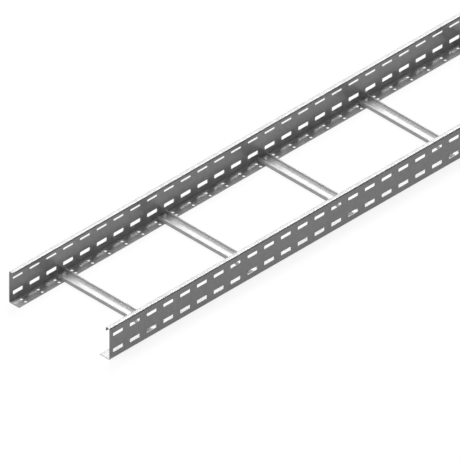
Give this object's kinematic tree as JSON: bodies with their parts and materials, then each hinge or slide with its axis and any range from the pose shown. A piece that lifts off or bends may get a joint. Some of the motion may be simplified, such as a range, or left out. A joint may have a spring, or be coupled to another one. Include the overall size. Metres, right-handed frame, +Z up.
{
  "type": "cable ladder section",
  "caption": "Straight cable ladder section: slotted C-profile side rails joined by open channel rungs, for carrying and fixing electrical cables along a run.",
  "frame": {"origin": "on the ground plane, under the middle of the section", "axes": "+X along the ladder, +Y across it from the front rail to the back rail, +Z up"},
  "size_m": [3, 0.3, 0.08],
  "materials": {
    "rail_steel": "galvanised",
    "rung_steel": "galvanised"
  },
  "bodies": {
    "root": {"side_rail_front": "rail_steel", "side_rail_back": "rail_steel", "rung_01": "rung_steel", "rung_02": "rung_steel", "rung_03": "rung_steel", "rung_04": "rung_steel", "rung_05": "rung_steel", "rung_06": "rung_steel", "rung_07": "rung_steel", "rung_08": "rung_steel", "rung_09": "rung_steel", "rung_10": "rung_steel"}
  },
  "joints": []
}
